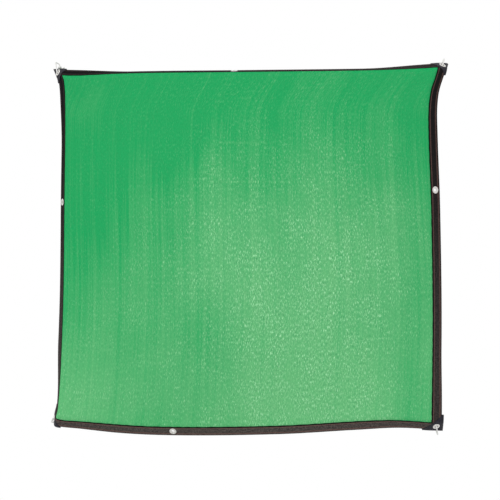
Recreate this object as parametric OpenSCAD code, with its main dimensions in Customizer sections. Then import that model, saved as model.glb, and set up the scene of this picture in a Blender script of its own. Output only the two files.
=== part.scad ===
// Shade net panel, hung upright by its four corners.
// X runs to the right along the top hem, Z is up, the front of the net faces -Y.
// The origin is midway between the two top corner eyelets.
// A place on the net is given by its flat coordinates: s from the left edge, t down from the top edge.

/* [Net] */
// Width between the outer edges of the side hems
net_w = 1500; // [1200:10:2400]
// Height between the outer edges of the top and bottom hems
net_h = 1385; // [1100:10:2400]
// Thickness of the knitted net
net_t = 1.0; // [0.8:0.1:1.6]

/* [Hung shape] */
// Depth of the belly that the net makes towards the front
belly = 110; // [0:5:160]
// How far the edges stand in front of the tie points
edge_lift = 40; // [0:5:80]
// Radius at which the net folds just inside a hem
fold_r = 14; // [10:1:18]

/* [Hem] */
// Width of the hem tape
hem_w = 42; // [38:1:60]
// Thickness of one leaf of the tape
tape_t = 1.0; // [0.8:0.1:1.6]
// How deep the net is tucked into the folded tape
tuck = 11; // [8:1:12]

/* [Corner patches] */
// How far the tips of a patch reach past the folds
patch_more = 16; // [14:1:24]
// Thickness of one patch leaf
patch_t = 1.0; // [0.6:0.1:1.6]
// How far a patch stands out past the hem
patch_out = 8; // [4:1:12]

/* [Eyelets] */
// Radius of the eyelet's bore
bore_r = 6; // [4.5:0.1:6.5]
// Wall of the eyelet's barrel
barrel_wall = 0.6; // [0.4:0.1:0.8]
// Radius of the eyelet's flange
flange_r = 13.3; // [12.5:0.1:15]
// Height of the crowned flange
flange_h = 1.6; // [1.2:0.1:2.4]
// Width of the lip that is crimped over the washer
crimp_w = 2.2; // [1.6:0.1:2.8]
// Height of the crimped lip
crimp_h = 0.9; // [0.6:0.1:1.2]
// Thickness of the washer's sheet
washer_t = 0.6; // [0.4:0.1:0.9]
// How much smaller the washer's radius is than the flange's
washer_less = 0.8; // [0.4:0.1:1.4]
// Distance of an eyelet's centre from the outer edges
inset = 21; // [19:0.5:22]
// Place of the top eyelet, as a share of the width
top_at = 0.472; // [0.3:0.001:0.7]
// Place of the bottom eyelet, as a share of the width
bottom_at = 0.341; // [0.3:0.001:0.7]
// Place of the left eyelet, as a share of the height
left_at = 0.384; // [0.3:0.001:0.7]
// Place of the right eyelet, as a share of the height
right_at = 0.351; // [0.3:0.001:0.7]

/* [Tie loops] */
// Diameter of the tie cord
cord_d = 5; // [3.5:0.1:5.5]
// Radius of the cord's bends, at its middle
cord_bend = 5; // [4:0.5:6]
// Room between the patch's outer corner and the cord
cord_room = 0.8; // [0.4:0.1:6]
// Length of each loose end at the knot
cord_tail = 16; // [10:1:30]

/* [Hidden] */
$fn = 64;

net_colour = "mediumseagreen";
tape_colour = "#3d3838";
patch_colour = "#34323c";
metal_colour = "gainsboro";
cord_colour = "whitesmoke";

// Inward shift of each edge's line as [share of the edge, mm]: the ties pull the edges out of straight
top_in = [[0, 3], [0.06, 8], [0.2, -4], [0.5, -11], [0.8, -18], [0.94, -25], [1, -33]];
right_in = [[0, -22], [0.04, -14], [0.1, 10], [0.17, 15.5], [0.4, -1.5], [0.7, -16], [1, -19]];
bottom_in = [[0, -14], [0.04, -33], [0.1, -36], [0.3, -40], [0.6, -18], [0.86, 14], [1, 7]];
left_in = [[0, -18], [0.04, 8], [0.1, 17], [0.35, 21], [0.7, 24], [0.94, 10], [1, -13]];
// Backward roll of each hem in degrees: at its first corner, along its middle and at its last corner
top_roll = [49, 72, 60];
right_roll = [41, 34, 22];
bottom_roll = [42, 32, 44];
left_roll = [46, 55, 70];
roll_from = 60;  // a roll starts to change this far from a corner
roll_to = 320;   // and has its middle value from here on
belly_end = 1.12;  // the belly would end this share of the height below the top edge

rim = 0.2;                                // share of a flange's height that its edge stands up straight
loop_lay = 0.25;                          // room between a tie loop and what it lies on
wrap_r = 0.94 * cord_d;                   // radius of the knot's wraps, and their distance
knot_at = 0.62;                           // place of the knot, as a share of the loop's reach
tail_turn = 120;                          // the tails leave the knot sideways and backwards
tail_share = 0.9;                         // their thickness, as a share of the cord's
loop_turn = [135, 45, -64, -135];         // way each loop points, from the right towards the top
lay = 0.15;                               // room under a flange, a washer or a lip
seat_gap = 0.2;                           // room between soft layers that lie on each other
slot_half = net_t / 2 + seat_gap;         // half the height of the slot that holds the net
hem_half = slot_half + tape_t;            // half the thickness of a hem
patch_in = hem_half + seat_gap;           // height of a patch leaf's inner face
patch_half = patch_in + patch_t;          // height of a patch leaf's outer face
barrel_r = bore_r + barrel_wall;
hole_r = barrel_r + seat_gap;
net_edge = hem_w - tuck + 0.5;            // the net's own edge, inside the hem
fold_at = hem_w + 2;                      // the fold starts here, counted from the edge
fold_mid = fold_at + fold_r / 2;
fold_end = fold_at + fold_r;
patch_bend = -1;                          // the leaves bend together from here outwards
patch_reach = fold_end + patch_more;      // end of a patch's tips
patch_sum = patch_reach + patch_bend;     // on a patch's long edge both distances add up to this
flat_half = flange_r + 4;                 // half of the flat stretch of hem under a side eyelet
near = [fold_at, fold_mid, fold_end, patch_reach, 115, 150, 190, 240, 300];  // stations from a corner
middle_step = 110;                        // and about this far apart from there on

// ---- the shape of the hung net ----

function ramp(a, b, q) = let(k = max(0, min(1, (q - a) / (b - a)))) k * k * (3 - 2 * k);

// Smooth curve through a list of points [share, value]
function slope(p, i) =
    let(a = max(0, i - 1), b = min(len(p) - 1, i + 1)) (p[b][1] - p[a][1]) / (p[b][0] - p[a][0]);
function span_of(p, q, i = 0) = (i >= len(p) - 2 || q < p[i + 1][0]) ? i : span_of(p, q, i + 1);
function curve(p, share) =
    let(q = max(0, min(1, share)), i = span_of(p, q), h = p[i + 1][0] - p[i][0], k = (q - p[i][0]) / h)
    p[i][1] * (2 * k^3 - 3 * k^2 + 1) + h * slope(p, i) * (k^3 - 2 * k^2 + k)
    + p[i + 1][1] * (3 * k^2 - 2 * k^3) + h * slope(p, i + 1) * (k^3 - k^2);

// Roll angle at a distance q along an edge of length l
function roll_at(roll, q, l) =
    roll[1] + (roll[0] - roll[1]) * (1 - ramp(roll_from, roll_to, q))
    + (roll[2] - roll[1]) * (1 - ramp(roll_from, roll_to, l - q));

// What a roll by angle a does at a distance d from the edge: [shift inwards, shift backwards]
function rolled(d, a) =
    let(q = max(0, fold_end - d), bent = min(q, fold_r), r = fold_r * 180 / (PI * a), turn = a * bent / fold_r)
    [q - r * sin(turn) - (q - bent) * cos(a), r * (1 - cos(turn)) + (q - bent) * sin(a)];

// Shift of an edge's line at a distance q along it, straight as far as the folds, and how it fades inwards
function pulled(p, q, l) =
    let(c = fold_end / l, from_end = l - q)
    q < fold_end ? curve(p, 0) + (curve(p, c) - curve(p, 0)) * q / fold_end
    : from_end < fold_end ? curve(p, 1) + (curve(p, 1 - c) - curve(p, 1)) * from_end / fold_end
    : curve(p, q / l);
function fade(q, l) = (1 - max(0, q - fold_end) / l)^2;
function inside(q, l) = max(0, min(1, (q - fold_end) / (l - 2 * fold_end)));

// Point of the net's middle surface. It is flat in each corner, as far as the folds.
function hung(s, t) =
    let(from_right = net_w - s, from_bottom = net_h - t,
        top = rolled(t, roll_at(top_roll, s, net_w)),
        right = rolled(from_right, roll_at(right_roll, t, net_h)),
        bottom = rolled(from_bottom, roll_at(bottom_roll, s, net_w)),
        left = rolled(s, roll_at(left_roll, t, net_h)),
        x = s
            + left[0] + pulled(left_in, t, net_h) * fade(s, net_w)
            - right[0] - pulled(right_in, t, net_h) * fade(from_right, net_w),
        down = t
            + top[0] + pulled(top_in, s, net_w) * fade(t, net_h)
            - bottom[0] - pulled(bottom_in, s, net_w) * fade(from_bottom, net_h),
        front = edge_lift + belly * sin(180 * inside(s, net_w)) * sin(180 * inside(t, net_h) / belly_end))
    [x - net_w / 2, top[1] + right[1] + bottom[1] + left[1] - front, -down];

function unit(v) = v / norm(v);
function along_s(s, t) = unit(hung(s + 2, t) - hung(s - 2, t));
function normal(s, t) = unit(cross(along_s(s, t), hung(s, t - 2) - hung(s, t + 2)));

corner_at = [[inset, inset], [net_w - inset, inset], [net_w - inset, net_h - inset], [inset, net_h - inset]];
side_at = [
    [net_w * top_at, inset], [net_w - inset, net_h * right_at],
    [net_w * bottom_at, net_h - inset], [inset, net_h * left_at]
];
origin = (hung(inset, inset) + hung(net_w - inset, inset)) / 2;

// Point at a height h over the middle surface, towards the front
function place(s, t, h = 0) = hung(s, t) - origin + h * normal(s, t);

// ---- stations along the edges ----

function sorted(v) = len(v) < 2 ? v :
    let(p = v[floor(len(v) / 2)])
    concat(sorted([for (x = v) if (x < p) x]), [p], sorted([for (x = v) if (x > p) x]));
function between(a, b) =
    let(n = max(2, round((b - a) / middle_step))) [for (i = [1 : n - 1]) a + i * (b - a) / n];
// Stations along an edge of length l, with a flat stretch round each eyelet of list e
function stations(l, e) =
    let(flat = [for (c = e, k = [-1, 1]) c + k * flat_half],
        last = near[len(near) - 1],
        ends = [for (m = near) each [m, l - m]],
        spare = [for (m = concat(ends, between(last, l - last))) if (min([for (f = flat) abs(f - m)]) > 24) m])
    sorted(concat(spare, flat));
s_stations = stations(net_w, [net_w * bottom_at, net_w * top_at]);
t_stations = stations(net_h, [net_h * right_at, net_h * left_at]);

// ---- skins over points ----

function turned(faces, flip) = flip ? [for (f = faces) [f[2], f[1], f[0]]] : faces;

// Skin over equal rings of points, closed at both ends by the triangles of list caps.
// Where swap holds, the quads that start at that point of a ring are split along their other diagonal.
module ring_skin(rings, caps, flip, swap) {
    n = len(rings[0]);
    m = len(rings);
    skin = [for (i = [0 : m - 2], j = [0 : n - 1])
        let(a = i * n + j, b = i * n + (j + 1) % n)
        each swap[j] ? [[a, b, a + n], [b, b + n, a + n]] : [[a, b, b + n], [a, b + n, a + n]]];
    last = [for (c = caps) [for (k = c) k + (m - 1) * n]];
    polyhedron([for (r = rings) each r], turned(concat(skin, turned(caps, true), last), flip));
}

// Sheet over columns of flat points, none longer than the one before it.
// low and high give the heights of its two faces at a point.
module sheet(columns, low, high, flip = false) {
    count = [for (c = columns) len(c)];
    start = [for (i = 0, k = 0; i < len(count); k = k + count[i], i = i + 1) k];
    flat = [for (c = columns) each c];
    total = len(flat);
    last = len(columns) - 1;
    face = [for (i = [0 : last - 1]) let(a = start[i], b = start[i + 1], nb = count[i + 1]) each concat(
        [for (j = [0 : nb - 2]) each [[a + j, b + j, b + j + 1], [a + j, b + j + 1, a + j + 1]]],
        [for (j = [nb - 1 : 1 : count[i] - 2]) [a + j, b + nb - 1, a + j + 1]])];
    rim = concat(
        start,
        [for (j = [1 : count[last] - 1]) start[last] + j],
        [for (i = [last - 1 : -1 : 0]) start[i] + count[i] - 1],
        [for (j = [count[0] - 2 : -1 : 1]) j]);
    wall = [for (k = [0 : len(rim) - 1]) let(a = rim[k], b = rim[(k + 1) % len(rim)])
        each [[a, a + total, b + total], [a, b + total, b]]];
    back = [for (f = turned(face, true)) [for (k = f) k + total]];
    polyhedron(
        concat([for (p = flat) place(p[0], p[1], high(p))], [for (p = flat) place(p[0], p[1], low(p))]),
        turned(concat(face, back, wall), flip));
}

// Local frame of the eyelet at flat point c: x along the net, z out of its front
module at_eyelet(c) {
    x = along_s(c[0], c[1]);
    z = normal(c[0], c[1]);
    y = cross(z, x);
    o = place(c[0], c[1]);
    multmatrix([[x[0], y[0], z[0], o[0]], [x[1], y[1], z[1], o[1]], [x[2], y[2], z[2], o[2]]]) children();
}

// ---- net and hems ----

module net_panel() {
    s_all = concat([net_edge, hem_w], s_stations, [net_w - hem_w, net_w - net_edge]);
    t_all = concat([net_edge, hem_w], t_stations, [net_h - hem_w, net_h - net_edge]);
    color(net_colour)
        sheet([for (s = s_all) [for (t = t_all) [s, t]]], function(p) -net_t / 2, function(p) net_t / 2);
}

// Section of the folded tape as [distance from the outer edge, height], and the triangles that close it
tape_edge = [[0, 0], [0.5, 0.7 * hem_half], [1.6, hem_half], [hem_w, hem_half], [hem_w, slot_half]];
tape_section = concat(
    tape_edge, [[hem_w - tuck, slot_half], [hem_w - tuck, -slot_half]],
    [for (i = [len(tape_edge) - 1 : -1 : 1]) [tape_edge[i][0], -tape_edge[i][1]]]);
tape_caps = [
    [0, 1, 10], [1, 9, 10], [1, 2, 9], [2, 6, 9], [2, 5, 6], [2, 3, 5], [3, 4, 5], [6, 7, 8], [6, 8, 9]
];

// Hem on an edge of length l, mitred at both ends. flat turns [along the edge, distance in] into [s, t].
// Its quads are split along the same diagonals as the net's, so that the slot fits the net where both twist.
module hem(l, along, flat, holes, flip) {
    mitre = seat_gap / 2;
    rising = flat([0, 1])[0] + flat([0, 1])[1] > flat([0, 0])[0] + flat([0, 0])[1];
    m = len(tape_section);
    swap = [for (j = [0 : m - 1]) (tape_section[(j + 1) % m][0] < tape_section[j][0]) == rising];
    function ring(q) = [for (p = tape_section) let(f = flat([q(p[0]), p[0]])) place(f[0], f[1], p[1])];
    rings = concat(
        [ring(function(d) d + mitre)],
        [for (a = along) ring(function(d) a)],
        [ring(function(d) l - d - mitre)]);
    color(tape_colour) difference() {
        ring_skin(rings, tape_caps, flip, swap);
        for (h = holes) at_eyelet(h) cylinder(h = 4 * patch_half, r = hole_r, center = true);
    }
}
module hem_top() hem(net_w, s_stations, function(p) p, [corner_at[0], corner_at[1], side_at[0]], true);
module hem_right()
    hem(net_h, t_stations, function(p) [net_w - p[1], p[0]], [corner_at[1], corner_at[2], side_at[1]], true);
module hem_bottom()
    hem(net_w, s_stations, function(p) [p[0], net_h - p[1]], [corner_at[3], corner_at[2], side_at[2]], false);
module hem_left()
    hem(net_h, t_stations, function(p) [p[1], p[0]], [corner_at[0], corner_at[3], side_at[3]], false);

// ---- corner patches ----

// Leaf on corner k, side 1 for the front and -1 for the back. Past the hem's edge the two leaves meet.
module patch(k, side) {
    from_right = k == 1 || k == 2;
    from_bottom = k == 2 || k == 3;
    function flat(a, b) = [from_right ? net_w - a : a, from_bottom ? net_h - b : b];
    function depth(p) = min(from_right ? net_w - p[0] : p[0], from_bottom ? net_h - p[1] : p[1]);
    function inner(p) = depth(p) < 2 * patch_bend ? lay / 2 : patch_in;
    folds = [for (f = [fold_at, fold_mid, fold_end]) each [f, patch_sum - f]];
    lines = sorted(concat([-patch_out, patch_bend], folds));
    function rows(a) = concat([for (b = lines) if (a + b < patch_sum + 0.01) b], a < 0 ? [patch_reach] : []);
    columns = [for (a = concat(lines, [patch_reach])) [for (b = rows(a)) flat(a, b)]];
    color(patch_colour) difference() {
        sheet(columns,
            function(p) side > 0 ? inner(p) : -inner(p) - patch_t,
            function(p) side > 0 ? inner(p) + patch_t : -inner(p),
            from_right != from_bottom);
        at_eyelet(corner_at[k]) cylinder(h = 4 * patch_half, r = hole_r, center = true);
    }
}

// ---- eyelets and washers ----

// Half ellipse from radius a to radius b, of height h over z
function crown(a, b, z, h) = [for (w = [180 : -15 : 0]) [(a + b) / 2 + (b - a) / 2 * cos(w), z + h * sin(w)]];

// Eyelet in flat point c, through layers that reach from -half to half
module eyelet(c, half) {
    seat = half + lay;
    lip = seat + washer_t + lay;
    crimp_r = barrel_r + crimp_w;
    color(metal_colour) at_eyelet(c) rotate_extrude() polygon(concat(
        crown(bore_r, flange_r, seat + rim * flange_h, (1 - rim) * flange_h),
        [[flange_r - lay, seat], [barrel_r, seat], [barrel_r, -lip], [crimp_r - lay, -lip]],
        crown(crimp_r, bore_r, -lip - rim * crimp_h, (rim - 1) * crimp_h)));
}

module washer(c, half) {
    top = -half - lay;
    low = top - washer_t;
    inner = barrel_r + seat_gap / 2;
    outer = flange_r - washer_less;
    color(metal_colour) at_eyelet(c) rotate_extrude() polygon([
        [inner, top], [outer, top], [outer, top - rim * washer_t], [outer - washer_t, low], [inner, low]]);
}

// ---- tie loops ----

// Straight cord from the origin along +Z
module cord(l) cylinder(h = l, r = cord_d / 2);
// Quarter bend in the XZ plane round point [x, z], from angle a onwards
module bend(x, z, a) translate([x, 0, z]) rotate([90, 0, 0]) rotate([0, 0, a])
    rotate_extrude(angle = 90) translate([cord_bend, 0]) circle(cord_d / 2);

// Loose end of the cord: from the origin along +Z, drawn tight and rounded off
module tail() {
    r = tail_share * cord_d / 2;
    rotate_extrude() polygon(concat(
        [[0, 0], [r, 0], [r, cord_tail - r]],
        [for (w = [15 : 15 : 90]) [r * cos(w), cord_tail - r + r * sin(w)]]));
}

// Flat point of the patch's outer corner, and the loop's reach so that it goes round it
function tip_at(k) = [for (i = [0, 1]) corner_at[k][i] + sign(corner_at[k][i] - 2 * inset) * (inset + patch_out)];
function loop_out(k) =
    norm(place(tip_at(k)[0], tip_at(k)[1]) - place(corner_at[k][0], corner_at[k][1])) + cord_room + cord_d / 2;

// Loop through corner eyelet k. It goes round the patch's corner and is closed by a barrel knot on the back.
module tie_loop(k) {
    front = patch_half + lay + flange_h + loop_lay + cord_d / 2;
    back = patch_half + loop_lay + wrap_r + cord_d / 2;
    out = loop_out(k);
    rise = front + back - 2 * cord_bend;
    run = out - 2 * cord_bend;
    color(cord_colour) at_eyelet(corner_at[k]) rotate([0, 0, loop_turn[k]]) {
        for (x = [0, out])
            translate([x, 0, cord_bend - back]) cord(rise);
        for (z = [-back, front])
            translate([cord_bend, 0, z]) rotate([0, 90, 0]) cord(run);
        bend(out - cord_bend, front - cord_bend, 0);
        bend(cord_bend, front - cord_bend, 90);
        bend(cord_bend, cord_bend - back, 180);
        bend(out - cord_bend, cord_bend - back, 270);
        for (w = [-1 : 1])
            translate([knot_at * out + w * wrap_r, 0, -back]) {
                rotate([0, 90, 0]) rotate_extrude() translate([wrap_r, 0]) circle(cord_d / 2);
                if (w != 0)
                    translate([0, 0, -wrap_r]) rotate([-w * tail_turn, 0, 0]) tail();
            }
    }
}

// ---- nodes ----

module patch_front_top_left() patch(0, 1);
module patch_front_top_right() patch(1, 1);
module patch_front_bottom_right() patch(2, 1);
module patch_front_bottom_left() patch(3, 1);
module patch_back_top_left() patch(0, -1);
module patch_back_top_right() patch(1, -1);
module patch_back_bottom_right() patch(2, -1);
module patch_back_bottom_left() patch(3, -1);
module eyelet_top_left() eyelet(corner_at[0], patch_half);
module eyelet_top_right() eyelet(corner_at[1], patch_half);
module eyelet_bottom_right() eyelet(corner_at[2], patch_half);
module eyelet_bottom_left() eyelet(corner_at[3], patch_half);
module eyelet_top() eyelet(side_at[0], hem_half);
module eyelet_right() eyelet(side_at[1], hem_half);
module eyelet_bottom() eyelet(side_at[2], hem_half);
module eyelet_left() eyelet(side_at[3], hem_half);
module washer_top_left() washer(corner_at[0], patch_half);
module washer_top_right() washer(corner_at[1], patch_half);
module washer_bottom_right() washer(corner_at[2], patch_half);
module washer_bottom_left() washer(corner_at[3], patch_half);
module washer_top() washer(side_at[0], hem_half);
module washer_right() washer(side_at[1], hem_half);
module washer_bottom() washer(side_at[2], hem_half);
module washer_left() washer(side_at[3], hem_half);
module tie_loop_top_left() tie_loop(0);
module tie_loop_top_right() tie_loop(1);
module tie_loop_bottom_right() tie_loop(2);
module tie_loop_bottom_left() tie_loop(3);

net_panel();
hem_top();
hem_right();
hem_bottom();
hem_left();
patch_front_top_left();
patch_front_top_right();
patch_front_bottom_right();
patch_front_bottom_left();
patch_back_top_left();
patch_back_top_right();
patch_back_bottom_right();
patch_back_bottom_left();
eyelet_top_left();
eyelet_top_right();
eyelet_bottom_right();
eyelet_bottom_left();
eyelet_top();
eyelet_right();
eyelet_bottom();
eyelet_left();
washer_top_left();
washer_top_right();
washer_bottom_right();
washer_bottom_left();
washer_top();
washer_right();
washer_bottom();
washer_left();
tie_loop_top_left();
tie_loop_top_right();
tie_loop_bottom_right();
tie_loop_bottom_left();
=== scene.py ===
import math

import bpy
import numpy as np
from mathutils import Matrix, Vector


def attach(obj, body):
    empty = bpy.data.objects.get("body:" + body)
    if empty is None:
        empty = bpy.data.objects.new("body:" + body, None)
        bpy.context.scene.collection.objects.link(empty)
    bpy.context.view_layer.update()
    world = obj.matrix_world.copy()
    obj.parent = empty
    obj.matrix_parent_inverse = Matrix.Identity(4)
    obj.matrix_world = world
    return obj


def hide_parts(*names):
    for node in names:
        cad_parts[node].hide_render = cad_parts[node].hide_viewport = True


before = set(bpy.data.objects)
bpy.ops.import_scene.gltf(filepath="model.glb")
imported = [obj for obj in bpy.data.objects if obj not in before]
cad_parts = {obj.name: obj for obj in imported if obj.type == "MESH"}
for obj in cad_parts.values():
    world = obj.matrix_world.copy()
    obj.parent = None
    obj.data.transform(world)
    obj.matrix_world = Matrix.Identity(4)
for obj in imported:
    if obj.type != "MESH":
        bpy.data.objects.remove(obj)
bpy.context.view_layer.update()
scene = bpy.context.scene
mm = 0.001
corners = ["top_left", "top_right", "bottom_right", "bottom_left"]
sides = ["top", "right", "bottom", "left"]

# Every cloth piece is made flat, as on the sewing table: x is s, from the left edge, y is -t, t down from the
# top edge, z is the height over the middle of the cloth. Then hang() moves its points into the hung shape.

net = {
    "width": 1.5, "height": 1.385, "thick": 0.8 * mm,
    "edge": 31.5 * mm,  # where the net ends inside the hem
    "columns": 212, "rows": 196,
    "lift": 40 * mm, "belly": 110 * mm, "bellyEnd": 1.12,
    "foldRadius": 14 * mm, "foldAt": 44 * mm, "foldEnd": 58 * mm,
    "smoothTo": 0.12,  # the net's creases fade from this depth to the folds
    "inset": 21 * mm,  # the eyelets' distance from the edges
}
pull = {  # how far each edge is drawn in, in mm, at shares of its length
    "top": [(0, 3), (0.06, 8), (0.2, -4), (0.5, -11), (0.8, -18), (0.94, -25), (1, -33)],
    "right": [(0, -22), (0.04, -14), (0.1, 10), (0.17, 15.5), (0.4, -1.5), (0.7, -16), (1, -19)],
    "bottom": [(0, -14), (0.04, -33), (0.1, -36), (0.3, -40), (0.6, -18), (0.86, 14), (1, 7)],
    "left": [(0, -18), (0.04, 8), (0.1, 17), (0.35, 21), (0.7, 24), (0.94, 10), (1, -13)],
}
roll = {  # how far each hem is turned back: at its first end, along its middle and at its last end
    "top": (49, 72, 60), "right": (41, 34, 22), "bottom": (42, 32, 44), "left": (46, 55, 70),
    "from": 60 * mm, "to": 320 * mm,
}
eyeletAt = {
    "top_left": (net["inset"], net["inset"]),
    "top_right": (net["width"] - net["inset"], net["inset"]),
    "bottom_right": (net["width"] - net["inset"], net["height"] - net["inset"]),
    "bottom_left": (net["inset"], net["height"] - net["inset"]),
    "top": (net["width"] * 0.472, net["inset"]),
    "right": (net["width"] - net["inset"], net["height"] * 0.351),
    "bottom": (net["width"] * 0.341, net["height"] - net["inset"]),
    "left": (net["inset"], net["height"] * 0.384),
}
sideLength = {"top": net["width"], "bottom": net["width"], "left": net["height"], "right": net["height"]}


def ramp(a, b, q):
    k = np.clip((q - a) / (b - a), 0, 1)
    return k * k * (3 - 2 * k)


def smoothLine(points, share):
    at, value = np.array(points, float).T
    slope = np.gradient(value)
    slope[1:-1] = (value[2:] - value[:-2]) / (at[2:] - at[:-2])
    slope[0] = (value[1] - value[0]) / (at[1] - at[0])
    slope[-1] = (value[-1] - value[-2]) / (at[-1] - at[-2])
    q = np.clip(share, 0, 1)
    i = np.clip(np.searchsorted(at, q, side="right") - 1, 0, len(at) - 2)
    span = at[i + 1] - at[i]
    k = (q - at[i]) / span
    return (value[i] * (2 * k**3 - 3 * k**2 + 1) + span * slope[i] * (k**3 - 2 * k**2 + k)
            + value[i + 1] * (3 * k**2 - 2 * k**3) + span * slope[i + 1] * (k**3 - k**2))


def pulled(side, q):  # straight as far as the folds, so that the corners lie flat
    length, end = sideLength[side], net["foldEnd"]
    c = end / length
    first, nearFirst, nearLast, last = (smoothLine(pull[side], x) for x in (0, c, 1 - c, 1))
    shift = np.where(q < end, first + (nearFirst - first) * q / end, smoothLine(pull[side], q / length))
    return mm * np.where(length - q < end, last + (nearLast - last) * (length - q) / end, shift)


def rollAt(side, q):
    first, middle, last = roll[side]
    return (middle + (first - middle) * (1 - ramp(roll["from"], roll["to"], q))
            + (last - middle) * (1 - ramp(roll["from"], roll["to"], sideLength[side] - q)))


def rolled(d, degrees):  # what the roll does at a distance d from the edge: shift inwards, shift backwards
    angle, radius = np.radians(degrees), net["foldRadius"] / np.radians(degrees)
    q = np.maximum(0, net["foldEnd"] - d)
    bent = np.minimum(q, net["foldRadius"])
    turn = angle * bent / net["foldRadius"]
    return (q - radius * np.sin(turn) - (q - bent) * np.cos(angle),
            radius * (1 - np.cos(turn)) + (q - bent) * np.sin(angle))


def inside(q, length):
    return np.clip((q - net["foldEnd"]) / (length - 2 * net["foldEnd"]), 0, 1)


def fade(q, length):
    return (1 - np.maximum(0, q - net["foldEnd"]) / length) ** 2


def hung(s, t):
    w, h = net["width"], net["height"]
    top, bottom = rolled(t, rollAt("top", s)), rolled(h - t, rollAt("bottom", s))
    left, right = rolled(s, rollAt("left", t)), rolled(w - s, rollAt("right", t))
    x = s + left[0] + pulled("left", t) * fade(s, w) - right[0] - pulled("right", t) * fade(w - s, w)
    down = t + top[0] + pulled("top", s) * fade(t, h) - bottom[0] - pulled("bottom", s) * fade(h - t, h)
    bulge = np.sin(np.pi * inside(s, w)) * np.sin(np.pi * inside(t, h) / net["bellyEnd"])
    back = top[1] + right[1] + bottom[1] + left[1] - net["lift"] - net["belly"] * bulge
    return np.stack([x - w / 2, back, -down], axis=-1)


def unit(v):
    return v / np.linalg.norm(v, axis=-1, keepdims=True)


def alongNet(s, t):
    return unit(hung(s + 2 * mm, t) - hung(s - 2 * mm, t))


def outOfNet(s, t):
    return unit(np.cross(alongNet(s, t), hung(s, t - 2 * mm) - hung(s, t + 2 * mm)))


origin = sum(hung(*(np.array(x) for x in eyeletAt[c])) for c in ("top_left", "top_right")) / 2


def place(s, t, h):
    return hung(s, t) - origin + outOfNet(s, t) * h[..., None]


def frameAt(name):  # x along the net, z out of its front, at an eyelet
    s, t = (np.array(x) for x in eyeletAt[name])
    x, z, o = alongNet(s, t), outOfNet(s, t), place(s, t, np.array(0.0))
    y = np.cross(z, x)
    return Matrix([[x[i], y[i], z[i], o[i]] for i in range(3)] + [[0, 0, 0, 1]])


def points(obj):
    co = np.empty(len(obj.data.vertices) * 3)
    obj.data.vertices.foreach_get("co", co)
    return co.reshape(-1, 3)


def setPoints(obj, co):
    obj.data.vertices.foreach_set("co", np.asarray(co, np.float32).ravel())
    obj.data.update()


def setUv(obj, u, v):  # one value a vertex
    layer = obj.data.uv_layers[0] if obj.data.uv_layers else obj.data.uv_layers.new(name="UVMap")
    corner = np.empty(len(obj.data.loops), np.int32)
    obj.data.loops.foreach_get("vertex_index", corner)
    layer.data.foreach_set("uv", np.stack([u[corner], v[corner]], axis=-1).astype(np.float32).ravel())


def hang(obj):
    co = points(obj)
    setPoints(obj, place(co[:, 0], -co[:, 1], co[:, 2]))


def selectOnly(obj):
    bpy.ops.object.select_all(action="DESELECT")
    obj.select_set(True)
    bpy.context.view_layer.objects.active = obj


def applyPlace(obj):
    selectOnly(obj)
    bpy.ops.object.transform_apply(location=True, rotation=True, scale=True)


def addGrid(name, low, high, columns, rows):
    bpy.ops.object.select_all(action="DESELECT")
    middle = ((low[0] + high[0]) / 2, (low[1] + high[1]) / 2, 0)
    bpy.ops.mesh.primitive_grid_add(x_subdivisions=columns, y_subdivisions=rows, size=1, location=middle)
    obj = bpy.context.object
    obj.name = name
    obj.scale = (high[0] - low[0], high[1] - low[1], 1)
    applyPlace(obj)
    return obj


def modify(obj, kind, **settings):
    selectOnly(obj)
    modifier = obj.modifiers.new(kind.lower(), kind)
    for key, value in settings.items():
        setattr(modifier, key, value)
    bpy.ops.object.modifier_apply(modifier=modifier.name)


def thicken(obj, thick):
    modify(obj, "SOLIDIFY", thickness=thick, offset=0, use_even_offset=True)


def editAll(obj, work):
    selectOnly(obj)
    bpy.ops.object.mode_set(mode="EDIT")
    bpy.ops.mesh.select_all(action="SELECT")
    work()
    bpy.ops.object.mode_set(mode="OBJECT")


def cutAway(obj, at, direction, fill=False):  # drops what lies past a plane that stands on the table
    editAll(obj, lambda: bpy.ops.mesh.bisect(
        plane_co=(*at, 0), plane_no=(*direction, 0), clear_outer=True, use_fill=fill))


def outwards(obj):
    editAll(obj, lambda: bpy.ops.mesh.normals_make_consistent(inside=False))


def punch(obj, eyelets):  # holes for the eyelets, in the hung shape
    editAll(obj, bpy.ops.mesh.quads_convert_to_tris)
    for name in eyelets:
        bpy.ops.object.select_all(action="DESELECT")
        bpy.ops.mesh.primitive_cylinder_add(
            vertices=tape["holeSides"], radius=tape["holeRadius"], depth=tape["punch"])
        cutter = bpy.context.object
        cutter.data.transform(frameAt(name))
        modify(obj, "BOOLEAN", operation="DIFFERENCE", solver="EXACT", object=cutter)
        bpy.data.objects.remove(cutter)
    editAll(obj, lambda: bpy.ops.mesh.fill_holes(sides=4))  # slits that the cut left


def finishPiece(obj, material, body, nodes, angle=40):
    obj.data.materials.clear()
    obj.data.materials.append(material)
    selectOnly(obj)
    bpy.ops.object.shade_smooth_by_angle(angle=math.radians(angle))
    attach(obj, body)
    if nodes:
        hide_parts(*nodes)


def newMaterial(name, roughness, metallic=0.0, specular=0.5):
    material = bpy.data.materials.new(name)
    material.use_nodes = True
    shader = material.node_tree.nodes["Principled BSDF"]
    shader.inputs["Roughness"].default_value = roughness
    shader.inputs["Metallic"].default_value = metallic
    shader.inputs["Specular IOR Level"].default_value = specular
    return material, material.node_tree, shader


def feed(tree, value, socket):
    if isinstance(value, bpy.types.NodeSocket):
        tree.links.new(value, socket)
    else:
        socket.default_value = value


def addNode(tree, kind, settings=None, **inputs):
    made = tree.nodes.new("ShaderNode" + kind)
    for key, value in (settings or {}).items():
        setattr(made, key, value)
    for key, value in inputs.items():
        feed(tree, value, made.inputs[key])
    return made


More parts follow.
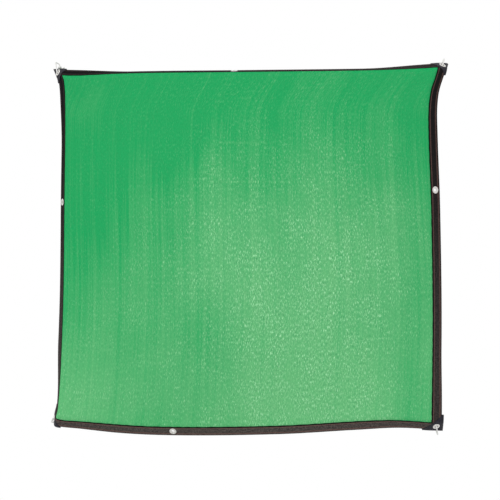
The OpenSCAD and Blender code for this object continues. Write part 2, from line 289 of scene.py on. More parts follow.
def calc(tree, operation, a, b=0.0, clamp=False):
    made = tree.nodes.new("ShaderNodeMath")
    made.operation = operation
    made.use_clamp = clamp
    feed(tree, a, made.inputs[0])
    feed(tree, b, made.inputs[1])
    return made.outputs[0]


def plus(tree, first, *others):
    for value in others:
        first = calc(tree, "ADD", first, value)
    return first


def times(tree, first, *others):
    for value in others:
        first = calc(tree, "MULTIPLY", first, value)
    return first


def clamped(tree, value):
    return calc(tree, "ADD", value, 0.0, clamp=True)


def distance(tree, a, b):
    return calc(tree, "ABSOLUTE", calc(tree, "SUBTRACT", a, b))


def fit(tree, value, low, high, toLow=0.0, toHigh=1.0):  # low to high becomes toLow to toHigh, smoothly
    made = tree.nodes.new("ShaderNodeMapRange")
    made.interpolation_type = "SMOOTHSTEP"
    sockets = ("Value", "From Min", "From Max", "To Min", "To Max")
    for key, x in zip(sockets, (value, low, high, toLow, toHigh)):
        feed(tree, x, made.inputs[key])
    return made.outputs["Result"]


def blendColours(tree, share, a, b):  # share 0 is all a, share 1 is all b
    made = tree.nodes.new("ShaderNodeMix")
    made.data_type = "RGBA"
    feed(tree, share, made.inputs["Factor"])
    feed(tree, a, made.inputs[6])  # 6, 7 and 2 are the node's colour sockets
    feed(tree, b, made.inputs[7])
    return made.outputs[2]


def grain(tree, vector, scales, detail=2.0, rough=0.5, offset=(0, 0, 0)):  # noise, its own scale each way
    placed = addNode(tree, "Mapping", Vector=vector, Scale=scales, Location=offset).outputs[0]
    noise = addNode(tree, "TexNoise", Vector=placed, Scale=1.0, Detail=detail, Roughness=rough)
    return noise.outputs["Fac"]


def wave(tree, vector, period, direction, distortion, detailScale=1.0):
    settings = {"wave_type": "BANDS", "bands_direction": direction}
    scale = 2 * math.pi / (20 * period)  # at scale 1 the node's own bands are 2 pi / 20 apart
    made = addNode(tree, "TexWave", settings, Vector=vector, Scale=scale, Distortion=distortion, Detail=2.0,
                   **{"Detail Scale": detailScale})
    return made.outputs["Fac"]


def relief(tree, shader, height, deep, strength):
    bump = addNode(tree, "Bump", Height=height, Distance=deep, Strength=strength)
    tree.links.new(bump.outputs[0], shader.inputs["Normal"])


def srgb(*parts):  # 0 to 255, as colours are named, to the values that the sockets take
    linear = [x / 255 / 12.92 if x <= 10 else ((x / 255 + 0.055) / 1.055) ** 2.4 for x in parts]
    return (*linear, 1.0)


knit = {
    # the pale green is the net painted as lit and sheened, and the glint colour is painted glints; the dark
    # green serves the painted shade specks and the knit's columns
    "deep": srgb(12, 171, 94), "pale": srgb(114, 202, 131), "paintedGlint": srgb(190, 250, 197),
    "dark": srgb(8, 128, 66),
    "wale": 3.6 * mm, "course": 2.7 * mm,  # spacing of the knit's columns and rows
    "open": 0.35,  # how clear its holes are
    # how the columns run: they lean to the right near the top hem, and wander a little below
    "lean": 0.06, "leanEnd": 0.21, "wander": 0.008,
    # how much lighter or darker the clouds, the stripes at the top and below, and the streaks make it
    "cloud": 0.13, "stripes": (0.05, 0.13), "streaks": 0.07,
    # painted light: where the net is painted paler, as if lit through and sheened, down and across it, as
    # from, to, and the amounts there
    "down": (0.1, 0.95), "across": (0.0, 0.95, 0.12, 1.0), "back": (1.15, 1.5, 1.0, 0.55),
    "low": (0.7, 1.3), "lowLeft": (0.45, 0.0, 0.0, 0.75),
    # how strong the painted glints and painted shade specks are, across and down the net, in the same way
    "glintsAcross": (0.2, 0.75, 0.5, 1.0), "glintsBack": (1.15, 1.45, 1.0, 0.6),
    "glintsDown": (0.9, 1.25, 1.0, 0.75),
    "bands": [  # columns that were knitted a little tighter or looser: place, half width, lighter or darker
        (0.565, 0.006, 0.18), (0.59, 0.02, -0.1), (0.8, 0.05, 0.06), (0.872, 0.03, -0.12), (1.05, 0.08, 0.06),
        (1.11, 0.012, -0.12), (0.28, 0.03, -0.08), (1.38, 0.05, -0.12),
    ],
    "paintedLightSpots": [  # painted light and shade: paler and darker patches for the light on the net's belly, and thin pale lines along two creases: place, half width, half height, how much
        (0.5, 0.5, 0.16, 0.55, -0.28), (0.64, 1.04, 0.28, 0.24, -0.28), (0.96, 0.78, 0.2, 0.22, -0.18),
        (0.06, 0.9, 0.16, 0.45, -0.12), (1.33, 0.38, 0.2, 0.25, 0.14), (1.38, 1.22, 0.12, 0.3, -0.14),
        (0.93, 1.26, 0.16, 0.12, 0.16), (0.82, 1.02, 0.045, 0.2, -0.1), (1.1, 0.95, 0.35, 0.35, -0.1),
        (0.74, 0.6, 0.13, 0.2, 0.1), (0.76, 0.315, 0.16, 0.008, 0.16), (0.8, 0.458, 0.26, 0.008, 0.14),
    ],
}


def knitToneWithPaintedLight(tree, flat, bent, s, t, column):  # painted light: how much light the net is painted as letting through and shining with, along with the knit's own stripes, streaks and bands: 0 is deep green, 1 is pale
    # painted light: paler down and across the net, and at the lower left
    down = fit(tree, t, *knit["down"])
    across = times(tree, fit(tree, s, *knit["across"]), fit(tree, s, *knit["back"]))
    lowLeft = times(tree, fit(tree, t, *knit["low"]), fit(tree, s, *knit["lowLeft"]))
    cloud = grain(tree, flat, (2.6, 2.2, 1), detail=3.0, offset=(0.7, 0.4, 0))
    cloud = fit(tree, cloud, 0.3, 0.7, -knit["cloud"], knit["cloud"])
    tone = clamped(tree, plus(tree, times(tree, down, across), lowLeft, cloud))
    stripes = grain(tree, bent, (70, 0.8, 1), detail=4.0, rough=0.6)
    strength = fit(tree, down, 0.0, 0.4, *knit["stripes"])
    stripes = times(tree, fit(tree, stripes, 0.3, 0.7, -1.0, 1.0), strength)
    streaks = grain(tree, bent, (240, 2.5, 1))
    tone = plus(tree, tone, stripes, fit(tree, streaks, 0.3, 0.7, -knit["streaks"], knit["streaks"]))
    for at, width, amount in knit["bands"]:
        tone = plus(tree, tone, fit(tree, distance(tree, column, at), width, 0.0, 0.0, amount))
    # painted light and shade: paler and darker patches, and pale lines along creases
    for x, y, wide, high, amount in knit["paintedLightSpots"]:
        scale, centre = (1 / wide, 1 / high, 1), (-x / wide, -y / high, 0)
        placed = addNode(tree, "Mapping", Vector=bent, Scale=scale, Location=centre).outputs[0]
        off = addNode(tree, "VectorMath", {"operation": "LENGTH"}, Vector=placed).outputs["Value"]
        tone = plus(tree, tone, fit(tree, off, 1.0, 0.0, 0.0, amount))
    return clamped(tree, tone)


def addPaintedGlints(tree, colour, tone, flat, yarn, glint, s, t):  # painted glints where the flat yarns would catch the light, and painted shade specks where they would hide it
    patchy = grain(tree, flat, (16, 10, 1), detail=3.0, offset=(1.3, 0.2, 0))
    lively = times(tree, fit(tree, patchy, 0.3, 0.7, 0.45, 1.3), fit(tree, s, *knit["glintsAcross"]),
                   fit(tree, s, *knit["glintsBack"]), fit(tree, t, *knit["glintsDown"]))
    lively = clamped(tree, times(tree, lively, plus(tree, times(tree, tone, 0.9), 0.1)))
    bright = plus(tree, fit(tree, yarn, 0.52, 0.74, 0.0, 0.6), fit(tree, glint, 0.53, 0.7, 0.0, 1.0))
    colour = blendColours(tree, clamped(tree, times(tree, bright, lively)), colour, knit["paintedGlint"])
    shadow = plus(tree, fit(tree, yarn, 0.46, 0.3, 0.0, 0.4), fit(tree, glint, 0.46, 0.28, 0.0, 0.6))
    shadow = times(tree, shadow, plus(tree, times(tree, lively, 0.8), 0.2))
    return blendColours(tree, shadow, colour, knit["dark"])


def knitMaterial():
    material, tree, shader = newMaterial("knittedNet", 0.6, specular=0.1)
    flat = addNode(tree, "UVMap").outputs[0]
    s, t = addNode(tree, "SeparateXYZ", Vector=flat).outputs[:2]
    wander = times(tree, calc(tree, "SINE", times(tree, t, 5.2)), -knit["wander"])
    lean = plus(tree, fit(tree, t, knit["leanEnd"], 0.02, 0.0, knit["lean"]), wander)
    column = calc(tree, "SUBTRACT", s, lean)
    bent = addNode(tree, "CombineXYZ", X=column, Y=t).outputs[0]
    tone = knitToneWithPaintedLight(tree, flat, bent, s, t, column)
    # painted light: the tone paints the net from deep green to pale, sheened green
    colour = blendColours(tree, times(tree, tone, 0.85), knit["deep"], knit["pale"])
    yarn = grain(tree, bent, (320, 110, 1), rough=0.7)
    glint = grain(tree, bent, (330, 80, 1), rough=0.6, offset=(3.1, 1.7, 0))
    colour = addPaintedGlints(tree, colour, tone, flat, yarn, glint, s, t)
    wales = wave(tree, bent, knit["wale"], "X", 0.6)
    courses = wave(tree, bent, knit["course"], "Y", 1.2, 2.0)
    colour = blendColours(tree, fit(tree, wales, 0.6, 1.0, 0.0, 0.18), colour, knit["dark"])
    tree.links.new(colour, shader.inputs["Base Color"])
    gap = times(tree, fit(tree, wales, 0.45, 0.2), fit(tree, courses, 0.4, 0.15))
    tree.links.new(calc(tree, "SUBTRACT", 1.0, times(tree, gap, knit["open"])), shader.inputs["Alpha"])
    height = plus(tree, times(tree, wales, 0.7), times(tree, courses, 0.3), times(tree, yarn, 0.8))
    relief(tree, shader, height, 0.35 * mm, 0.7)
    return material


weave = {
    "base": srgb(78, 72, 69), "light": srgb(122, 113, 107), "black": srgb(18, 16, 18),
    "brown": srgb(110, 78, 70),
    "yarn": 1.1 * mm,
    "paintedShade": {  # painted shade: how far each hem is darkened towards black, at its first and its last end, the turned-back top and left hems most
        "top": (1.0, 0.75), "right": (0.92, 0.5), "bottom": (0.05, -0.05), "left": (1.05, 0.5),
    },
    "stripe": {"top": 0.15, "right": 0.55, "bottom": 0.75, "left": 0.1},  # how much of the brown shows; little on the top and left hems, as part of their painted shade
    "stripeWidth": (3.0 * mm, 1.2 * mm),
    "middle": (10 * mm, 14 * mm, 28 * mm, 32 * mm),  # the band between the seams, which the painted shade darkens a little more
    "inner": (36 * mm, 38 * mm),  # painted shadow: a black line along the tape's inner edge, by the net
}


def tapeMaterial(side):
    # each hem gets its own copy of the tape, with its own painted shade
    material, tree, shader = newMaterial("hemTape_" + side, 0.9, specular=0.06)
    flat = addNode(tree, "UVMap").outputs[0]
    along, depth = addNode(tree, "SeparateXYZ", Vector=flat).outputs[:2]
    ribs = wave(tree, flat, weave["yarn"], "X", 0.4)
    cords = wave(tree, flat, weave["yarn"] * 1.3, "Y", 0.5)
    cloth = times(tree, ribs, cords)
    patchy = grain(tree, flat, (60, 140, 1), detail=4.0, rough=0.65)
    speck = grain(tree, flat, (190, 150, 1), detail=3.0, rough=0.6)
    colour = blendColours(tree, fit(tree, patchy, 0.35, 0.7, 0.0, 0.6), weave["base"], weave["light"])
    colour = blendColours(tree, fit(tree, speck, 0.5, 0.68, 0.0, 0.8), colour, weave["light"])
    colour = blendColours(tree, fit(tree, speck, 0.48, 0.32, 0.0, 0.6), colour, weave["black"])
    colour = blendColours(tree, fit(tree, cloth, 0.5, 0.1, 0.0, 0.45), colour, weave["black"])
    a, b, c, d = weave["middle"]
    middle = times(tree, fit(tree, depth, a, b), fit(tree, depth, d, c))
    # painted shade towards black along the hem, stronger in the band between the seams
    paintedShade = fit(tree, along, 0.2, 1.2, *weave["paintedShade"][side])
    paintedShade = times(tree, plus(tree, times(tree, middle, 0.15), 0.85), paintedShade)
    colour = blendColours(tree, paintedShade, colour, weave["black"])
    worn = fit(tree, patchy, 0.25, 0.6, 0.35, 0.8)
    for row in tape["rows"]:  # a brown stripe is woven in under each row of stitches
        off = distance(tree, depth, row)
        stripe = times(tree, fit(tree, off, *weave["stripeWidth"], 0.0, weave["stripe"][side]), worn)
        colour = blendColours(tree, stripe, colour, weave["brown"])
    # painted shadow along the tape's inner edge
    colour = blendColours(tree, fit(tree, depth, *weave["inner"]), colour, weave["black"])
    tree.links.new(colour, shader.inputs["Base Color"])
    relief(tree, shader, plus(tree, cloth, patchy), 0.25 * mm, 0.8)
    return material


thread = {  # each thread's darker and lighter colour
    "seam": (srgb(104, 72, 67), srgb(140, 104, 97)),
    # the dark seam thread is a shaded copy of the seam thread: painted shade for the top and left hems
    "dark": (srgb(52, 38, 36), srgb(76, 58, 54)),
    "patch": (srgb(34, 33, 40), srgb(62, 60, 70)),
}


def threadMaterial(kind):
    material, tree, shader = newMaterial(kind + "Thread", 0.6, specular=0.3)
    spot = addNode(tree, "TexCoord").outputs["Object"]
    twist = grain(tree, spot, (900, 900, 900))
    colour = blendColours(tree, fit(tree, twist, 0.35, 0.65), *thread[kind])
    tree.links.new(colour, shader.inputs["Base Color"])
    relief(tree, shader, twist, 0.15 * mm, 0.6)
    return material


canvas = {"dark": srgb(26, 25, 33), "rubbed": srgb(47, 45, 55), "yarn": 0.9 * mm}


def patchMaterial():
    material, tree, shader = newMaterial("cornerPatch", 0.55, specular=0.14)
    flat = addNode(tree, "UVMap").outputs[0]
    cloth = plus(tree, wave(tree, flat, canvas["yarn"], "X", 0.3), wave(tree, flat, canvas["yarn"], "Y", 0.3))
    rub = grain(tree, flat, (45, 45, 1), detail=5.0, rough=0.7)
    colour = blendColours(tree, fit(tree, rub, 0.35, 0.75), canvas["dark"], canvas["rubbed"])
    tree.links.new(colour, shader.inputs["Base Color"])
    tree.links.new(fit(tree, rub, 0.3, 0.8, 0.42, 0.62), shader.inputs["Roughness"])
    relief(tree, shader, plus(tree, cloth, times(tree, rub, 3.0)), 0.2 * mm, 0.6)
    return material


aluminium = {"bright": srgb(232, 230, 226), "worn": srgb(190, 188, 184)}


def metalMaterial():
    material, tree, shader = newMaterial("pressedAluminium", 0.34, metallic=0.85)
    spot = addNode(tree, "TexCoord").outputs["Object"]
    wear = grain(tree, spot, (420, 420, 420), detail=5.0, rough=0.7)
    scratch = grain(tree, spot, (2200, 160, 900), detail=3.0, rough=0.6)
    colour = blendColours(tree, fit(tree, wear, 0.3, 0.75), aluminium["bright"], aluminium["worn"])
    tree.links.new(colour, shader.inputs["Base Color"])
    tree.links.new(fit(tree, scratch, 0.3, 0.75, 0.24, 0.5), shader.inputs["Roughness"])
    relief(tree, shader, plus(tree, wear, scratch), 0.05 * mm, 0.5)
    return material


braid = {"grey": srgb(224, 223, 220), "white": srgb(250, 250, 248), "soiled": srgb(178, 174, 166)}


def cordMaterial():
    material, tree, shader = newMaterial("braidedCord", 0.7, specular=0.3)
    flat = addNode(tree, "UVMap").outputs[0]
    fibre = grain(tree, flat, (3000, 3000, 1), detail=3.0, rough=0.6)
    soil = grain(tree, flat, (60, 60, 1), detail=3.0)
    colour = blendColours(tree, fit(tree, fibre, 0.35, 0.7), braid["grey"], braid["white"])
    colour = blendColours(tree, fit(tree, soil, 0.5, 0.8, 0.0, 0.4), colour, braid["soiled"])
    tree.links.new(colour, shader.inputs["Base Color"])
    relief(tree, shader, fibre, 0.1 * mm, 0.7)
    return material


slack = {  # how uneven the net is
    "columnWave": 0.5, "slantWave": 0.35, "levelWave": 0.5, "cornerFold": 2.2,  # heights in mm
    "cornerFade": 0.16, "cornerFrom": (0.03, 0.1),  # how far the corner folds run, and where they begin
    "creaseWidth": 9 * mm,
    "creases": [  # faint folds from storage, as points s, t with a height in mm
        ([(0.2, 0.51), (0.59, 0.456), (0.79, 0.445)], 0.9),
        ([(0.59, 0.308), (0.91, 0.308), (1.1, 0.363), (1.34, 0.4)], 0.9),
        ([(0.86, 0.09), (0.86, 0.45), (0.875, 0.8), (0.84, 1.16), (0.8, 1.33)], -0.8),
        ([(1.13, 0.09), (1.09, 0.3), (1.12, 0.6), (1.12, 1.0)], 0.6),
        ([(0.32, 0.08), (0.27, 0.3), (0.275, 0.7), (0.29, 1.2)], -0.6),
    ],
}


def creaseHeight(s, t, line, height):
    line = np.array(line)
    best = np.full(s.shape, 1.0)
    for a, b in zip(line[:-1], line[1:]):
        d = b - a
        k = np.clip(((s - a[0]) * d[0] + (t - a[1]) * d[1]) / (d @ d), 0, 1)
        best = np.minimum(best, np.hypot(s - a[0] - k * d[0], t - a[1] - k * d[1]))
    return height * mm * np.exp(-((best / slack["creaseWidth"]) ** 2))


def slackness(s, t):  # small folds and waves of the net, none inside the hems
    w, h = net["width"], net["height"]
    depth = np.minimum(np.minimum(s, w - s), np.minimum(t, h - t))
    z = sum(creaseHeight(s, t, line, height) for line, height in slack["creases"])
    bent = s + 0.014 * np.sin(5.2 * t)
    columnWave = slack["columnWave"] * np.sin(bent * 95 + 0.6) * np.sin(t * 2.3)
    z += mm * (columnWave + slack["slantWave"] * np.sin(bent * 57 + t * 3.0))
    z += mm * slack["levelWave"] * np.sin(t * 31 + 2.0 * np.sin(s * 4.1)) * np.sin(s * 2.6 + 0.5)
    for i, c in enumerate(corners):  # folds that run out of each corner
        ds, dt = abs(s - eyeletAt[c][0]), abs(t - eyeletAt[c][1])
        far, turn = np.hypot(ds, dt), np.arctan2(dt, ds)
        fold = slack["cornerFold"] * np.cos(turn * (10 + i)) * np.exp(-far / slack["cornerFade"])
        z += mm * fold * ramp(*slack["cornerFrom"], far)
    return z * ramp(net["foldAt"], net["smoothTo"], depth)


def makeNet(material):
    edge, w, h = net["edge"], net["width"], net["height"]
    obj = addGrid("knitted_net", (edge, edge - h), (w - edge, -edge), net["columns"], net["rows"])
    co = points(obj)
    co[:, 2] = slackness(co[:, 0], -co[:, 1])
    setPoints(obj, co)
    thicken(obj, net["thick"])
    co = points(obj)
    setUv(obj, co[:, 0], -co[:, 1])
    hang(obj)
    finishPiece(obj, material, "net", ["net_panel"], angle=60)
    return obj


tape = {
    "width": 42 * mm, "thick": 0.9 * mm, "leaf": 1.2 * mm,  # leaf: height of the middle of a leaf
    "stations": (41, 38.5, 36, 34, 32, 29.5, 25, 21, 17, 13, 10.5, 8.5, 6.5, 4.5, 2.6),  # in mm from the fold
    "rows": (8.5 * mm, 34 * mm),
    "dip": 0.22 * mm, "seam": 1.6 * mm,  # how deep and how wide a row of stitches draws the tape in
    "ripple": 0.25 * mm, "puffAt": 21 * mm, "puffHalf": 15 * mm, "rippleWaves": (260, 31, 97),
    "frayFrom": 36 * mm, "fray": 0.5 * mm, "frayWaves": (140, 23),  # the inner edge isn't quite straight
    "step": 6 * mm, "mitre": 0.1 * mm,  # mitre: how far a hem stays back from the corner's diagonal
    "holeRadius": 6.8 * mm, "holeSides": 48, "punch": 20 * mm,  # punch: length of the tool for the holes
}


def tapeSection():  # from the front leaf's inner edge round the fold to the back leaf's: distance in, height
    high = tape["leaf"]
    leaf = [(tape["width"], high)] + [(d * mm, high) for d in tape["stations"]]
    bend = [(high * (1 - math.sin(a)), high * math.cos(a)) for a in np.radians((0, 30, 60, 90))]
    front = np.array(leaf + bend)
    back = front[-2::-1] * (1, -1)
    return np.concatenate([front, back])


def onTable(side, along, depth):  # place on the sewing table of a point of a side's hem
    w, h = net["width"], net["height"]
    return {
        "top": (along, -depth), "bottom": (along, depth - h),
        "left": (depth, -along), "right": (w - depth, -along),
    }[side]


def hemShape(side, along, depth, height):
    sewn = sum(np.exp(-(((depth - row) / tape["seam"]) ** 2)) for row in tape["rows"])
    puff = 1 - np.clip(abs(depth - tape["puffAt"]) / tape["puffHalf"], 0, 1) ** 2
    a, b, c = tape["rippleWaves"]
    wobble = np.sin(along * a + 3 * np.sin(along * b)) * np.sin(along * c + len(side))  # no two hems alike
    ripple = np.sign(height) * tape["ripple"] * puff * wobble
    height = height * (1 - tape["dip"] / tape["leaf"] * sewn) + ripple
    a, b = tape["frayWaves"]
    fray = tape["fray"] * np.sin(along * a + 2 * np.sin(along * b))
    fray = fray * ramp(tape["frayFrom"], tape["width"], depth)
    x, y = onTable(side, along, depth - fray)
    return np.stack([x, y, height], axis=-1)


def makeHem(side, material):
    length = sideLength[side]
    section = tapeSection()
    columns = round(length / tape["step"])
    obj = addGrid("hem_tape_" + side, (0, 0), (length, 1), columns, len(section) - 1)
    co = points(obj)
    depth, height = section[np.rint(co[:, 1] * (len(section) - 1)).astype(int)].T
    setPoints(obj, hemShape(side, co[:, 0], depth, height))
    thicken(obj, tape["thick"])
    for end, sign in ((0, -1), (length, 1)):
        x, y = onTable(side, end - sign * tape["mitre"], 0)
        towards = Vector(onTable(side, sign, 1)) - Vector(onTable(side, 0, 0))
        cutAway(obj, (x, y), towards, fill=True)
    outwards(obj)
    co = points(obj)
    s, t = co[:, 0], -co[:, 1]
    along, depth = {
        "top": (s, t), "bottom": (s, net["height"] - t), "left": (t, s), "right": (t, net["width"] - s),
    }[side]
    setUv(obj, along, depth)
    hang(obj)
    punch(obj, [name for name in eyeletAt if side in name.split("_")])
    finishPiece(obj, material, "net", ["hem_" + side])
    return obj


stitch = {
    "length": 4.0 * mm, "pitch": 4.8 * mm, "width": 1.5 * mm, "high": 0.6 * mm,
    "clear": 47 * mm,  # a hem's seams begin and end this far from its corners
}


def sewLine(start, end, height):  # one row of stitches on the table, on the front and on the back
    start, end = Vector(start), Vector(end)
    bpy.ops.object.select_all(action="DESELECT")
    bpy.ops.mesh.primitive_ico_sphere_add(subdivisions=1, radius=0.5)
    obj = bpy.context.object
    obj.scale = (stitch["length"], stitch["width"], stitch["high"])
    obj.location = (stitch["pitch"] / 2, 0, height)
    applyPlace(obj)
    count = int((end - start).length / stitch["pitch"])
    modify(obj, "ARRAY", count=count, use_relative_offset=False, use_constant_offset=True,
           constant_offset_displace=(stitch["pitch"], 0, 0))
    modify(obj, "ARRAY", count=2, use_relative_offset=False, use_constant_offset=True,
           constant_offset_displace=(0, 0, -2 * height))
    obj.location = (*start, 0)
    obj.rotation_euler[2] = math.atan2(end.y - start.y, end.x - start.x)
    applyPlace(obj)
    return obj


def joined(name, objects):
    bpy.ops.object.select_all(action="DESELECT")
    for obj in objects:
        obj.select_set(True)
    bpy.context.view_layer.objects.active = objects[0]
    bpy.ops.object.join()
    objects[0].name = name
    return objects[0]


def sewHem(side, material):
    first, last = stitch["clear"], sideLength[side] - stitch["clear"]
    height = tape["leaf"] - tape["dip"] + tape["thick"] / 2
    rows = [sewLine(onTable(side, first, d), onTable(side, last, d), height) for d in tape["rows"]]
    obj = joined("stitching_" + side, rows)
    hang(obj)
    finishPiece(obj, material, "net", [], angle=80)


patch = {
    "out": 8 * mm, "reach": 74 * mm, "thick": 0.85 * mm, "cells": 44,
    "closed": 0.5 * mm, "over": 2.42 * mm,  # a leaf's height at its rim and over the hem
    "rise": -0.5 * mm,  # from here inwards it has its full height
    "cockle": 0.12 * mm, "cockleWaves": (160, 90), "cockleFrom": 20 * mm,
    "seam": 4.5 * mm, "round": {"top_right": 15 * mm},  # the one tip that is worn round
}
# along a leaf's slanted edge, the distances from the two hems' edges add up to this
patch["sum"] = patch["reach"] - 1 * mm


def ontoCorner(corner, co):  # a and b, the distances in from the two edges, become the place on the table
    right, bottom = "right" in corner, "bottom" in corner
    x = net["width"] - co[:, 0] if right else co[:, 0]
    y = co[:, 1] - net["height"] if bottom else -co[:, 1]
    return np.stack([x, y, co[:, 2]], axis=-1)


def leafHeight(a, b):
    depth = np.minimum(a, b)
    alongA, alongB = patch["cockleWaves"]
    cockle = patch["cockle"] * np.sin(a * alongA + b * alongB) * ramp(0, patch["cockleFrom"], depth)
    risen = ramp(-patch["out"], patch["rise"], depth)
    return patch["closed"] + (patch["over"] - patch["closed"]) * risen + cockle


def roundTip(flat, radius):  # bends the square outer tip of a leaf into an arc
    past = radius - patch["out"] - flat
    tip = (past > 0).all(axis=1)
    share = past[tip].max(axis=1) / np.hypot(*past[tip].T)
    flat[tip] = radius - patch["out"] - past[tip] * share[:, None]
    return flat


def makePatch(corner, face, material):
    out, reach, cells = patch["out"], patch["reach"], patch["cells"]
    obj = addGrid("patch_leaf_" + face + "_" + corner, (-out, -out), (reach, reach), cells, cells)
    cutAway(obj, (patch["sum"], 0), (1, 1))
    co = points(obj)
    sign = 1 if face == "front" else -1
    co[:, 2] = sign * leafHeight(co[:, 0], co[:, 1])
    if corner in patch["round"]:
        co[:, :2] = roundTip(co[:, :2], patch["round"][corner])
    setPoints(obj, co)
    thicken(obj, patch["thick"])
    co = points(obj)
    setUv(obj, co[:, 0], co[:, 1])
    setPoints(obj, ontoCorner(corner, co))
    outwards(obj)
    hang(obj)
    punch(obj, [corner])
    finishPiece(obj, material, "net", ["patch_" + face + "_" + corner])


def sewPatch(corner, material):
    seam = patch["seam"]
    total = patch["sum"] - 1.4 * seam  # 1.4, because the slanted edge runs at 45 degrees
    lines = [
        ((seam, total - seam), (total - seam, seam)),
        ((seam, seam), (total - seam, seam)),
        ((seam, total - seam), (seam, seam)),
    ]
    height = patch["over"] + patch["thick"] / 2
    obj = joined("patch_stitching_" + corner, [sewLine(a, b, height) for a, b in lines])
    setPoints(obj, ontoCorner(corner, points(obj)))
    outwards(obj)
    hang(obj)
    finishPiece(obj, material, "net", [], angle=80)


tie = {
    "radius": 2.5 * mm, "bend": 5 * mm, "front": 7.4 * mm, "back": 10.35 * mm, "room": 0.8 * mm,
    "wrap": 4.7 * mm, "knotAt": 0.62, "turns": 2, "tail": 16 * mm, "tailFrom": 1.5 * mm, "tailSlope": 30,
    "turn": {"top_left": 135, "top_right": 45, "bottom_right": -64, "bottom_left": -135},
    "around": 24, "step": 0.7 * mm, "plait": 6 * mm, "strands": 4,
    "low": 0.93, "raised": 0.06,  # the plait's hollows and strands, as shares of the radius
}


def resample(path, step):
    path = np.array(path)
    length = np.concatenate([[0], np.cumsum(np.linalg.norm(np.diff(path, axis=0), axis=1))])
    at = np.linspace(0, length[-1], max(2, round(length[-1] / step) + 1))
    return np.stack([np.interp(at, length, path[:, i]) for i in range(3)], axis=-1), at


def loopReach(corner):  # far enough to go round the patch's outer corner
    s, t = (np.array(x) for x in eyeletAt[corner])
    beyond = net["inset"] + patch["out"]
    tipS = s + np.copysign(beyond, s - net["width"] / 2)
    tipT = t + np.copysign(beyond, t - net["height"] / 2)
    flat = np.array(0.0)
    away = place(tipS, tipT, flat) - place(s, t, flat)
    return np.linalg.norm(away) + tie["room"] + tie["radius"]


def loopPath(out):
    b, front, back = tie["bend"], tie["front"], tie["back"]
    centres = [(out - b, front - b, 0), (b, front - b, 90), (b, b - back, 180), (out - b, b - back, 270)]
    path = []
    for x, z, start in centres:
        for a in np.radians(np.linspace(start, start + 90, 13)):
            path.append((x + b * math.cos(a), 0, z + b * math.sin(a)))
    return path + path[:1]


def knotPath(out):
    wrap, turns = tie["wrap"], tie["turns"]
    middle, slope = tie["knotAt"] * out, math.radians(tie["tailSlope"])
    away = Vector((0, math.cos(slope), -math.sin(slope)))
    wraps = []
    for a in np.linspace(0, 2 * math.pi * turns, 24 * turns + 1):
        along = middle + wrap * (a / math.pi - turns) / turns
        wraps.append((along, wrap * math.sin(a), -tie["back"] - wrap * math.cos(a)))
    first, last = Vector(wraps[0]), Vector(wraps[-1])
    tails = np.linspace(tie["tail"], tie["tailFrom"], 10)
    start = [first + Vector((0, -away.y, away.z)) * k for k in tails]
    end = [last + away * k for k in tails[::-1]]
    return [tuple(p) for p in start] + wraps + [tuple(p) for p in end]


def sweepCord(name, path, closed):  # a grid is rolled up along the path, with a plaited surface
    path, at = resample(path, tie["step"])
    for _ in range(3):
        path[1:-1] = (path[:-2] + 2 * path[1:-1] + path[2:]) / 4
    ahead = unit(np.gradient(path, axis=0))
    if closed:
        ahead[0] = ahead[-1] = unit(path[1] - path[-2])
    side = np.empty_like(path)
    side[0] = (0, 1, 0) if abs(ahead[0][1]) < 0.5 else (1, 0, 0)
    for i in range(1, len(path)):
        side[i] = side[i - 1] - ahead[i] * (side[i - 1] @ ahead[i])
        side[i] /= np.linalg.norm(side[i])
    over = np.cross(ahead, side)
    obj = addGrid(name, (0, 0), (1, 1), tie["around"], len(path) - 1)
    co = points(obj)
    ring = np.rint(co[:, 1] * (len(path) - 1)).astype(int)
    angle = co[:, 0] * 2 * math.pi
    run = at[ring] * 2 * math.pi / tie["plait"]
    if closed:  # a whole number of plaits, so that the ends meet
        run = at[ring] * 2 * math.pi * round(at[-1] / tie["plait"]) / at[-1]
    plait = np.maximum(np.cos(tie["strands"] * angle - run), np.cos(tie["strands"] * angle + run))
    radius = tie["radius"] * (tie["low"] + tie["raised"] * plait)
    if not closed:  # the ends are round
        end = np.minimum(at[ring], at[-1] - at[ring]) / tie["radius"]
        radius = radius * np.sqrt(np.clip(1 - (1 - np.clip(end, 0, 1)) ** 2, 0, 1))
    shape = side[ring] * np.cos(angle)[:, None] + over[ring] * np.sin(angle)[:, None]
    setUv(obj, co[:, 0] * 2 * math.pi * tie["radius"], at[ring])
    setPoints(obj, path[ring] + shape * radius[:, None])
    editAll(obj, lambda: bpy.ops.mesh.remove_doubles(threshold=0.01 * mm))
    outwards(obj)
    return obj


def makeTie(corner, material):
    out = loopReach(corner)
    pieces = [sweepCord("run", loopPath(out), True), sweepCord("knot", knotPath(out), False)]
    obj = joined("cord_loop_" + corner, pieces)
    turn = Matrix.Rotation(math.radians(tie["turn"][corner]), 4, "Z")
    obj.data.transform(frameAt(corner) @ turn)
    finishPiece(obj, material, "loop_" + corner, ["tie_loop_" + corner], angle=60)


view = {
    "distance": 4.0, "azimuth": 6.6, "roll": 1.19, "lens": 75.6, "sensor": 36.0, "far": 30,
    "target": Vector((0, 0, -0.6925)),  # in the hung shape's own place, before its origin
    "aside": Vector((33.3 * mm, -15.8 * mm)),  # the picture's middle is this far right of and below it
}


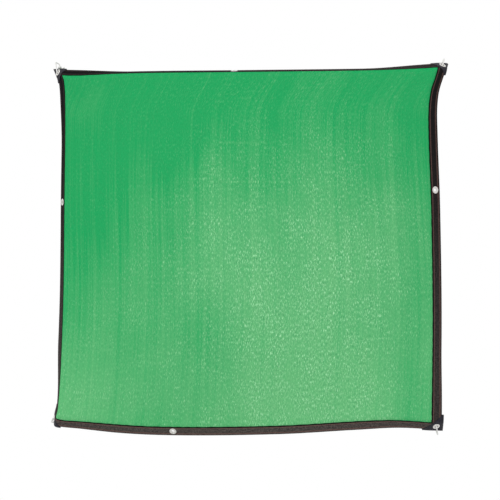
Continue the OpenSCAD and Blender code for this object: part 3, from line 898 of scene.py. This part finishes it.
def makeCamera():
    bpy.ops.object.select_all(action="DESELECT")
    bpy.ops.object.camera_add()
    camera = bpy.context.object
    a, r = math.radians(view["azimuth"]), math.radians(view["roll"])
    right, back = Vector((math.cos(a), math.sin(a), 0)), Vector((math.sin(a), -math.cos(a), 0))
    up = Vector((0, 0, 1))
    tiltedRight = math.cos(r) * right + math.sin(r) * up
    tiltedUp = math.cos(r) * up - math.sin(r) * right
    target = view["target"] - Vector(origin)
    eye = target + back * view["distance"]
    aim = target + tiltedRight * view["aside"].x + tiltedUp * view["aside"].y
    away = (eye - aim).normalized()
    x = tiltedUp.cross(away).normalized()
    y = away.cross(x)
    camera.matrix_world = Matrix([[x[i], y[i], away[i], eye[i]] for i in range(3)] + [[0, 0, 0, 1]])
    camera.data.lens = view["lens"]
    camera.data.sensor_width = view["sensor"]
    camera.data.clip_end = view["far"]
    scene.camera = camera


light = {
    "world": 0.72, "sun": 1.05, "sunAngle": 25, "sunTurn": (52, 0, -28),
    "floor": -2.02, "floorRadius": 1.15, "floorFade": (0.55, 0.98),  # as shares of the radius
}


def seesWhite(tree):  # 1 for what the camera sees directly, in a reflection or through the net
    path = addNode(tree, "LightPath").outputs
    seen = calc(tree, "MAXIMUM", path["Is Camera Ray"], path["Is Glossy Ray"])
    return calc(tree, "MAXIMUM", seen, path["Is Transmission Ray"])


def makeWorld():
    world = bpy.data.worlds.new("paleStudio")
    scene.world = world
    world.use_nodes = True
    tree = world.node_tree
    background = tree.nodes["Background"]
    background.inputs["Color"].default_value = (1, 1, 1, 1)
    strength = plus(tree, times(tree, seesWhite(tree), 1 - light["world"]), light["world"])
    tree.links.new(strength, background.inputs["Strength"])
    bpy.ops.object.select_all(action="DESELECT")
    bpy.ops.object.light_add(type="SUN", rotation=[math.radians(x) for x in light["sunTurn"]])
    sun = bpy.context.object.data
    sun.energy = light["sun"]
    sun.angle = math.radians(light["sunAngle"])


def makeFloor():
    bpy.ops.object.select_all(action="DESELECT")
    radius = light["floorRadius"]
    bpy.ops.mesh.primitive_circle_add(vertices=96, radius=radius, fill_type="NGON",
                                      location=(0, 0, light["floor"]))
    floor = bpy.context.object
    floor.name = "floor"
    applyPlace(floor)
    material, tree, shader = newMaterial("paleFloor", 0.9, specular=0.1)
    spot = addNode(tree, "TexCoord").outputs["Object"]
    flat = addNode(tree, "Mapping", Vector=spot, Scale=(1, 1, 0)).outputs[0]
    far = addNode(tree, "VectorMath", {"operation": "LENGTH"}, Vector=flat).outputs["Value"]
    rim = fit(tree, far, *(share * radius for share in light["floorFade"]))
    shader.inputs["Base Color"].default_value = (0.86, 0.86, 0.85, 1)
    shader.inputs["Emission Color"].default_value = (1, 1, 1, 1)
    clear = addNode(tree, "BsdfTransparent").outputs[0]
    mixed = addNode(tree, "MixShader", Fac=rim)
    tree.links.new(shader.outputs[0], mixed.inputs[1])
    tree.links.new(clear, mixed.inputs[2])
    tree.links.new(mixed.outputs[0], tree.nodes["Material Output"].inputs["Surface"])
    floor.data.materials.append(material)


makeCamera()
makeWorld()
makeFloor()
scene.view_settings.view_transform = "Standard"
print("stage: camera, light and floor")

knitted = makeNet(knitMaterial())
print("stage: net")

hems = [makeHem(side, tapeMaterial(side)) for side in sides]
seamThread, shadedSeamThread = threadMaterial("seam"), threadMaterial("dark")
# the top and left hems' seams get the darker thread, as painted shade
for side in sides:
    sewHem(side, shadedSeamThread if side in ("top", "left") else seamThread)
print("stage: hems and their seams")

patchCloth = patchMaterial()
patchThread = threadMaterial("patch")
for corner in corners:
    for face in ("front", "back"):
        makePatch(corner, face, patchCloth)
    sewPatch(corner, patchThread)
print("stage: patches")

metal = metalMaterial()
for name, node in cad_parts.items():
    if name.startswith(("eyelet_", "washer_")):
        node.data.materials.clear()
        node.data.materials.append(metal)
print("stage: eyelets")

whiteCord = cordMaterial()
for corner in corners:
    makeTie(corner, whiteCord)
print("stage: tie loops")
